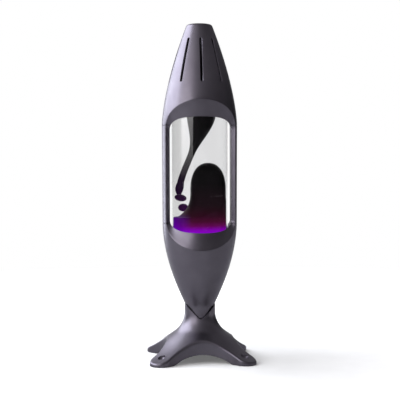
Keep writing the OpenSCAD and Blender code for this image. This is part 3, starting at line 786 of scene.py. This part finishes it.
def bead_skin(node, half_w, half_h, tilt):
    """Rounded bead in its node's place, its outer end raised by the tilt."""
    low, high = (np.array(v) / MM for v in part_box(node))
    middle = (low + high) / 2
    out = middle[:2] / np.hypot(*middle[:2])
    turn = np.linspace(0, 2 * math.pi, WAX_SIDES, endpoint=False)
    rows = []
    for a in np.linspace(-math.pi / 2, math.pi / 2, BEAD_ROWS):
        x = middle[0] + half_w * math.cos(a) * np.cos(turn)
        y = middle[1] + half_w * math.cos(a) * np.sin(turn)
        along = (x - middle[0]) * out[0] + (y - middle[1]) * out[1]
        rows.append(np.stack([x, y, middle[2] + half_h * math.sin(a) + along * math.sin(tilt)], 1))
    skin = Skin()
    skin.grid(rows, close=True)
    return skin


# Materials

def spread(tree, source, low, high, start, end):
    """The source between start and end, as a number from low to high."""
    node = tree.nodes.new("ShaderNodeMapRange")
    for key, value in (("From Min", start), ("From Max", end), ("To Min", low), ("To Max", high)):
        node.inputs[key].default_value = value
    tree.links.new(source, node.inputs["Value"])
    return node.outputs["Result"]


def ramp(tree, source, stops):
    """Colour between stops, each a place and its colour."""
    node = tree.nodes.new("ShaderNodeValToRGB")
    marks = node.color_ramp.elements
    while len(marks) < len(stops):
        marks.new(0.5)
    for mark, (place, colour) in zip(marks, stops):
        mark.position = place
        mark.color = (*colour, 1)
    tree.links.new(source, node.inputs["Fac"])
    return node.outputs["Color"]


def split(tree, vector):
    """The vector's X, Y and Z."""
    node = tree.nodes.new("ShaderNodeSeparateXYZ")
    tree.links.new(vector, node.inputs["Vector"])
    return node.outputs


def product(tree, first, second, kind="ShaderNodeMath"):
    node = tree.nodes.new(kind)
    node.operation = "MULTIPLY"
    tree.links.new(first, node.inputs[0])
    tree.links.new(second, node.inputs[1])
    return node.outputs[0]


class Look:
    """A material with helpers for its nodes. Textures use the part's own metres."""

    def __init__(self, name):
        self.material = bpy.data.materials.new(name)
        self.material.use_nodes = True
        self.tree = self.material.node_tree
        self.shader = self.tree.nodes["Principled BSDF"]
        self.place = self.add("ShaderNodeTexCoord").outputs["Object"]

    def add(self, kind, **values):
        node = self.tree.nodes.new(kind)
        for key, value in values.items():
            setattr(node, key, value)
        return node

    def link(self, start, end):
        self.tree.links.new(start, end)

    def set(self, **values):
        for key, value in values.items():
            self.shader.inputs[key.replace("_", " ")].default_value = value

    def noise(self, scale, detail=2.0, stretch=(1, 1, 1)):
        mapping = self.add("ShaderNodeMapping")
        mapping.inputs["Scale"].default_value = stretch
        node = self.add("ShaderNodeTexNoise")
        node.inputs["Scale"].default_value = scale
        node.inputs["Detail"].default_value = detail
        self.link(self.place, mapping.inputs["Vector"])
        self.link(mapping.outputs["Vector"], node.inputs["Vector"])
        return node.outputs["Fac"]

    def spread(self, source, low, high, start=0.3, end=0.7):
        return spread(self.tree, source, low, high, start, end)

    def ramp(self, source, stops):
        return ramp(self.tree, source, stops)

    def along(self, axis, start, end):
        """0 at start and 1 at end on the axis, in millimetres."""
        return self.spread(split(self.tree, self.place)[axis], 0, 1, start * MM, end * MM)

    def bump(self, source, strength, depth):
        node = self.add("ShaderNodeBump")
        node.inputs["Strength"].default_value = strength
        node.inputs["Distance"].default_value = depth * MM
        self.link(source, node.inputs["Height"])
        self.link(node.outputs["Normal"], self.shader.inputs["Normal"])


def seen_by(tree, *kinds):
    """1 for rays of these kinds, 0 for others."""
    path = tree.nodes.new("ShaderNodeLightPath")
    result = path.outputs[kinds[0]]
    for kind in kinds[1:]:
        most = tree.nodes.new("ShaderNodeMath")
        most.operation = "MAXIMUM"
        tree.links.new(result, most.inputs[0])
        tree.links.new(path.outputs[kind], most.inputs[1])
        result = most.outputs["Value"]
    return result


def mixed(tree, factor, first, second):
    node = tree.nodes.new("ShaderNodeMix")
    node.data_type = "RGBA"
    tree.links.new(factor, node.inputs["Factor"])
    for socket, value in ((node.inputs[6], first), (node.inputs[7], second)):
        if isinstance(value, tuple):
            socket.default_value = value
        else:
            tree.links.new(value, socket)
    return node.outputs[2]


def plain_look(name, dark, light, rough, metal=0.0, scale=120, grain=1500, depth=0.05):
    """Two close tones in soft patches, uneven gloss and a fine grain."""
    look = Look(name)
    tone = look.ramp(look.noise(scale, 3), [(0.3, dark), (0.7, light)])
    look.link(tone, look.shader.inputs["Base Color"])
    look.link(look.spread(look.noise(scale * 2.3), *rough), look.shader.inputs["Roughness"])
    look.bump(look.noise(grain, 4), 0.3, depth)
    look.set(Metallic=metal)
    return look


def gunmetal_look():
    look = plain_look("satin_gunmetal", (0.088, 0.080, 0.098), (0.098, 0.090, 0.108), (0.31, 0.37),
                      metal=1.0, scale=60, grain=2600, depth=0.012)
    look.set(Specular_Tint=(0.76, 0.76, 0.78, 1))
    return look.material


def glass_look(name, coat):
    """Clear glass that hardly bends the light; its outer side carries the reflections."""
    look = Look(name)
    # Glass tint, darker in a painted shade strip along its left side
    tint_and_painted_shade = look.ramp(look.along("X", *GLASS_SHADE_X), [
        (0.0, (0.79, 0.79, 0.79)), (1.0, (0.875, 0.875, 0.88))])
    look.link(tint_and_painted_shade, look.shader.inputs["Base Color"])
    look.set(Transmission_Weight=1.0, IOR=1.01, Coat_Weight=coat, Coat_IOR=1.5, Coat_Roughness=0.02)
    look.link(look.spread(look.noise(40), 0.0, 0.01), look.shader.inputs["Roughness"])
    return look.material


def wax_look(name, glow_stops, left_stops):
    """Dark wax with painted lamplight by height, from the bottle's floor up, in the middle and on the left.
    """
    look = Look(name)
    height = look.along("Z", BOTTLE_FLOOR, BOTTLE_FLOOR + PAINTED_GLOW_H)
    # Painted lamplight in the base colour: lighter and violet towards the bottle's floor, near black higher
    # up
    body = look.ramp(height, [
        (0.0, (0.03, 0.0, 0.05)), (0.12, (0.016, 0.001, 0.012)), (0.3, (0.007, 0.002, 0.005)),
        (0.6, (0.003, 0.002, 0.003))])
    # Painted lamplight as emission: a violet glow by height, with its own stronger stops on the left side
    rightward = look.along("X", *LEFT_PAINTED_GLOW_X)
    glow = mixed(look.tree, rightward, look.ramp(height, left_stops), look.ramp(height, glow_stops))
    look.link(body, look.shader.inputs["Base Color"])
    look.link(glow, look.shader.inputs["Emission Color"])
    look.link(look.spread(look.noise(90), 0.4, 0.5), look.shader.inputs["Roughness"])
    look.bump(look.noise(60, 2), 0.1, 0.1)
    look.set(Emission_Strength=1.0, Specular_IOR_Level=0.03, Sheen_Weight=0.15, Sheen_Roughness=0.3)
    return look.material


GUNMETAL = gunmetal_look()
# Painted lamplight of the wax by height: emission stops for the middle, then for the left side; the thin
# wax's stops are fainter
WAX = wax_look("violet_wax", [
    (0.0, (0.27, 0.0, 0.68)), (0.05, (0.22, 0.0, 0.46)), (0.1, (0.115, 0.001, 0.085)),
    (0.15, (0.05, 0.002, 0.018)), (0.22, (0.018, 0.002, 0.006)), (0.34, (0.006, 0.003, 0.004)),
    (0.6, (0.001, 0.001, 0.001))], [
    (0.0, (0.2, 0.0, 0.6)), (0.1, (0.12, 0.0, 0.34)), (0.19, (0.07, 0.001, 0.2)),
    (0.24, (0.02, 0.002, 0.01))])
THIN_WAX = wax_look("thin_violet_wax", [
    (0.25, (0.030, 0.006, 0.042)), (0.42, (0.024, 0.006, 0.034)), (0.55, (0.010, 0.003, 0.016)),
    (0.8, (0.006, 0.003, 0.007)), (1.0, (0.001, 0.001, 0.001))], [
    (0.25, (0.030, 0.006, 0.042)), (0.5, (0.015, 0.004, 0.024)), (1.0, (0.001, 0.001, 0.001))])
GLASS = [glass_look(f"clear_glass_{step}", step / COAT_STEPS) for step in range(COAT_STEPS + 1)]
STEEL = plain_look("zinc_plate", (0.5, 0.5, 0.52), (0.66, 0.66, 0.66), (0.25, 0.4), 1.0).material
TURNED = plain_look("turned_aluminium", (0.7, 0.7, 0.71), (0.8, 0.8, 0.81), (0.28, 0.36), 1.0, 300).material
BRASS = plain_look("drawn_brass", (0.62, 0.46, 0.2), (0.76, 0.6, 0.3), (0.2, 0.32), 1.0).material
RUBBER = plain_look("silicone", (0.05, 0.05, 0.055), (0.08, 0.08, 0.088), (0.6, 0.75)).material
MOULDING = plain_look("black_moulding", (0.02, 0.02, 0.022), (0.035, 0.035, 0.037), (0.4, 0.5)).material
CERAMIC = plain_look("holder_moulding", (0.72, 0.69, 0.62), (0.8, 0.77, 0.7), (0.3, 0.42)).material
FROSTED = plain_look("frosted_bulb", (0.85, 0.84, 0.8), (0.92, 0.9, 0.87), (0.25, 0.4)).material

NODE_LOOKS = {
    STEEL: ("lower_post_pins", "upper_post_pins", "terminal_screws", "fixing_rod", "fixing_washer",
            "fixing_nut"),
    TURNED: ("bottle_seat",),
    BRASS: ("bulb_cap", "holder_sleeve", "holder_contact"),
    RUBBER: ("seat_gasket", "bottle_collar"),
    MOULDING: ("bottle_cap", "bulb_tip", "rod_bush"),
    CERAMIC: ("bulb_holder", "cap_liner"),
    FROSTED: ("bulb_glass",),
}
for look, names in NODE_LOOKS.items():
    for name in names:
        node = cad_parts[name]
        node.data.materials.clear()
        node.data.materials.append(look)

# Pieces
whole = welded(spindle_skin())

upper = whole.copy()
cut_level(upper, UPPER_SEAM, True)
upper_body = carve(as_object("upper_body", upper), vent_skin())
finish_piece(upper_body, "lift_off_shell", "upper_shell", GUNMETAL)

lower = whole.copy()
cut_level(lower, LOWER_SEAM, False)
finish_piece(as_object("lower_body", lower), "base", "lower_shell", GUNMETAL)

for side, name, node in ((-1, "left_rail", "left_post"), (1, "right_rail", "right_post")):
    rail = whole.copy()
    far = [v for v in rail.verts if v.co.x * side < 0]
    bmesh.ops.delete(rail, geom=far, context="VERTS")
    cut_level(rail, LOWER_SEAM + JOINT_GAP, True)
    cut_level(rail, UPPER_SEAM - JOINT_GAP, False)
    finish_piece(as_object(name, rail), "base", node, GUNMETAL)
whole.free()

reach = TOE_AXIS + TOE_R + NET_MARGIN
stand_net = surface_net(
    stand_field, (-reach, -reach, -NET_MARGIN), (reach, reach, NECK_TOP + 2 * STAND_OVER), STAND_STEP)
star_foot = carve(as_object("star_foot", welded(stand_net)), *stand_cutters())
round_notch(star_foot)
finish_piece(star_foot, "base", "stand", GUNMETAL)

glass = Skin()
glass.lathe(bottle_outline())
glass_bottle = as_object("glass_bottle", welded(glass))
finish_piece(glass_bottle, "base", "bottle", GLASS[0])
for look in GLASS[1:]:
    glass_bottle.data.materials.append(look)
for face in glass_bottle.data.polygons:
    x, y, z = face.center / MM
    outside = x * face.normal.x + y * face.normal.y > 0
    share = (z - COAT_LOW_Z) / (COAT_FULL_Z - COAT_LOW_Z)
    if outside:
        face.material_index = round(COAT_STEPS * min(max(share, 0), 1))

reach = WAX_R + NET_MARGIN
dome_top = BOTTLE_FLOOR + DOME_WAIST + DOME_HEAD_H
dome_net = surface_net(
    dome_field, (-reach, -reach, BOTTLE_FLOOR - NET_MARGIN), (reach, reach, dome_top + NET_MARGIN),
    WAX_STEP)
finish_piece(as_object("wax_rise", welded(dome_net)), "base", "wax_dome", WAX)
finish_piece(as_object("wax_fall", welded(column_skin())), "base", "wax_column", THIN_WAX)
for name, node, body, sizes in (
        ("bead_high", "wax_bead_upper", "upper_bead", UPPER_BEAD),
        ("bead_low", "wax_bead_lower", "lower_bead", LOWER_BEAD)):
    finish_piece(as_object(name, welded(bead_skin(node, *sizes))), body, node, THIN_WAX)

# Camera
camera = bpy.data.objects.new("camera", bpy.data.cameras.new("camera"))
bpy.context.scene.collection.objects.link(camera)
bpy.context.scene.camera = camera
camera.data.sensor_width = SENSOR_MM
camera.data.lens = camera.data.sensor_width * VIEW_PX / FRAME_PX
distance = VIEW_PX * PX_MM * MM
back = Vector((math.sin(VIEW_AZIMUTH), -math.cos(VIEW_AZIMUTH), 0))
right = Vector((math.cos(VIEW_AZIMUTH), math.sin(VIEW_AZIMUTH), 0))
eye = back * distance + Vector((0, 0, (GROUND_PX - HORIZON_PX) * PX_MM * MM))
drop = (FRAME_PX / 2 - HORIZON_PX) * PX_MM * MM
aim = Vector((0, 0, eye.z - drop)) + right * AIM_RIGHT_PX * PX_MM * MM
look_at = (aim - eye).to_track_quat("-Z", "Y").to_matrix().to_4x4()
camera.matrix_world = Matrix.Translation(eye) @ look_at @ Matrix.Rotation(VIEW_ROLL, 4, "Z")
camera.data.clip_end = CLIP_FAR

# Studio

def panel(name, azimuth, low, high, width, colour, strength, fade):
    """Upright lit panel that faces the lamp, seen neither by the camera nor through the glass."""
    a = math.radians(azimuth)
    out = Vector((math.sin(a), -math.cos(a), 0))
    across = Vector((math.cos(a), math.sin(a), 0))
    corners = [out * PANEL_AWAY + across * x * width / 2 + Vector((0, 0, z))
               for x, z in ((-1, low), (1, low), (1, high), (-1, high))]
    mesh = bpy.data.meshes.new(name)
    mesh.from_pydata(corners, [], [(0, 1, 2, 3)])
    board = bpy.data.objects.new(name, mesh)
    bpy.context.scene.collection.objects.link(board)
    material = bpy.data.materials.new(name)
    material.use_nodes = True
    tree = material.node_tree
    tree.nodes.clear()
    glow = tree.nodes.new("ShaderNodeEmission")
    glow.inputs["Color"].default_value = (*colour, 1)
    glow.inputs["Strength"].default_value = strength
    if fade:
        place = split(tree, tree.nodes.new("ShaderNodeTexCoord").outputs["Object"])
        level = spread(tree, place["Z"], 0, strength, low, low + fade)
        tree.links.new(level, glow.inputs["Strength"])
    tree.links.new(glow.outputs["Emission"], tree.nodes.new("ShaderNodeOutputMaterial").inputs["Surface"])
    mesh.materials.append(material)
    board.visible_camera = False
    board.visible_transmission = False


for values in PANELS:
    panel(*values)

world = bpy.data.worlds.new("studio")
bpy.context.scene.world = world
world.use_nodes = True
tree = world.node_tree
way = split(tree, tree.nodes.new("ShaderNodeTexCoord").outputs["Generated"])
room = ramp(tree, spread(tree, way["X"], 0, 1, -1, 1), [
    (place, [level * part for part in ROOM_TINT]) for place, level in ROOM])
rising = ramp(tree, way["Z"], [(place, (level, level, level)) for place, level in RISE])
light = product(tree, rising, room, "ShaderNodeVectorMath")
behind = spread(tree, way["Y"], 0, 1, *BACKDROP_Y)
low_down = spread(tree, way["Z"], 1, 0, *BACKDROP_Z)
backdrop = product(tree, product(tree, behind, seen_by(tree, "Is Glossy Ray")), low_down)
walls = mixed(tree, backdrop, light, WHITE)
sight = mixed(tree, seen_by(tree, "Is Camera Ray", "Is Transmission Ray"), walls, WHITE)
tree.links.new(sight, tree.nodes["Background"].inputs["Color"])

# Floor
mesh = bpy.data.meshes.new("floor")
corners = [(x * FLOOR_HALF, y * FLOOR_HALF, 0) for x, y in ((-1, -1), (1, -1), (1, 1), (-1, 1))]
mesh.from_pydata(corners, [], [(0, 1, 2, 3)])
floor = bpy.data.objects.new("floor", mesh)
bpy.context.scene.collection.objects.link(floor)
look = Look("pale_floor")
look.set(Roughness=0.9, Specular_IOR_Level=0.0)
tree = look.tree
look.shader.inputs["Emission Color"].default_value = WHITE
length = look.add("ShaderNodeVectorMath", operation="LENGTH")
look.link(look.place, length.inputs[0])
away = length.outputs["Value"]
in_sight = seen_by(tree, "Is Camera Ray", "Is Transmission Ray")
lift = product(tree, in_sight, look.spread(away, *FLOOR_LIFT, *FLOOR_LIFT_REACH))
look.link(lift, look.shader.inputs["Emission Strength"])
far = product(tree, in_sight, look.spread(away, 0, 1, *FLOOR_FAR))
near = look.ramp(look.noise(30), [(0.3, (0.62, 0.62, 0.62)), (0.7, (0.64, 0.64, 0.64))])
look.link(mixed(tree, far, near, UNLIT), look.shader.inputs["Base Color"])
mesh.materials.append(look.material)

bpy.context.scene.view_settings.view_transform = "Standard"
